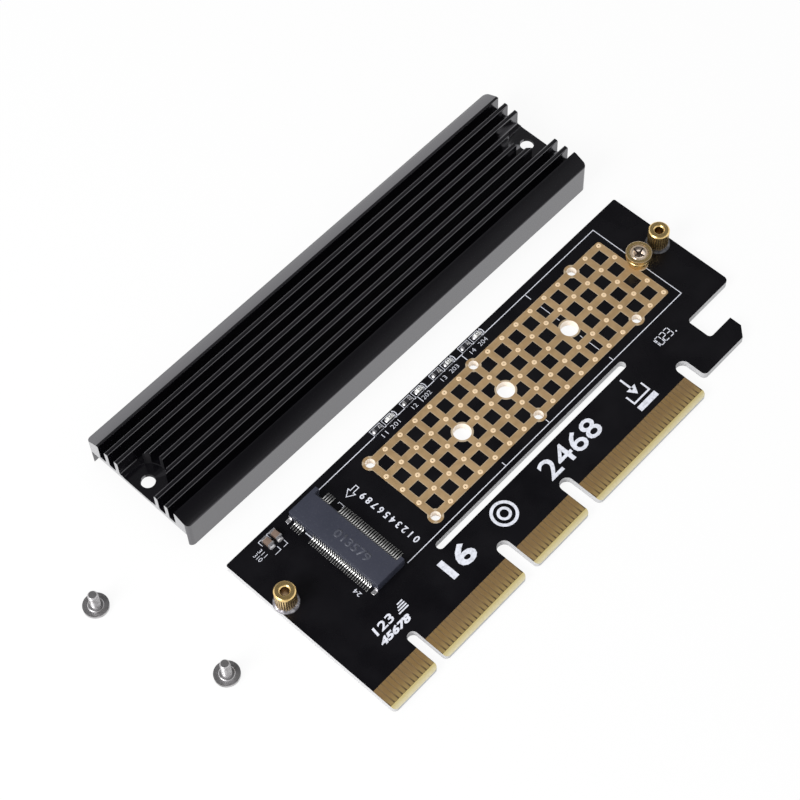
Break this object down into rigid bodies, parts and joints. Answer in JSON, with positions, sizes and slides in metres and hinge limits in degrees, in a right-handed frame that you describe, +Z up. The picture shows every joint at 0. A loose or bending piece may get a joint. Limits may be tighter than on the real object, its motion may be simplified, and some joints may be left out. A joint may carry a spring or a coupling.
{
  "type": "nvme adapter card",
  "caption": "Black adapter card for one M.2 drive in a x16 slot, with gilt thermal grid, knurled standoffs, and its black finned heatsink and two screws laid beside it",
  "frame": {"origin": "on the card's underside, on the drive's centre line, midway between the two cover standoffs", "axes": "+X along the card from the drive socket to the retention hook, +Y away from the edge contacts, +Z up"},
  "size_m": [0.1293, 0.075, 0.0085],
  "materials": {
    "solder_mask": "black epoxy solder mask on glass laminate, satin",
    "gilt_copper": "bare gilt copper, dull",
    "gilt_contact": "gilt edge contact, bronze tone",
    "socket_plastic": "glass-filled nylon, slate",
    "tinned_contact": "tinned contact, bright",
    "brass": "turned brass, bright",
    "screw_steel": "nickel-plated steel, turned",
    "solder": "solder, bright",
    "resistor_film": "black film resistor",
    "lamp_resin": "clear resin over a white lamp",
    "capacitor_ceramic": "brown ceramic",
    "black_anodised": "black anodised extrusion"
  },
  "bodies": {
    "root": {"circuit_board": "solder_mask", "thermal_grid": "gilt_copper", "edge_contacts_top": "gilt_contact", "edge_contacts_bottom": "gilt_contact", "m2_socket_housing": "socket_plastic", "socket_contacts_rear": "tinned_contact", "socket_contacts_front": "tinned_contact", "socket_hold_down_1": "tinned_contact", "socket_hold_down_2": "tinned_contact", "m2_standoff": "brass", "m2_screw": "screw_steel", "cover_standoff_socket_end": "brass", "solder_ring_socket_end": "solder", "cover_standoff_hook_end": "brass", "solder_ring_hook_end": "solder", "resistor_1": "resistor_film", "led_1": "lamp_resin", "resistor_2": "resistor_film", "led_2": "lamp_resin", "resistor_3": "resistor_film", "led_3": "lamp_resin", "resistor_4": "resistor_film", "led_4": "lamp_resin", "capacitor_1": "capacitor_ceramic", "capacitor_2": "capacitor_ceramic", "heatsink": "black_anodised", "cover_screw_1": "screw_steel", "cover_screw_2": "screw_steel"}
  },
  "joints": []
}
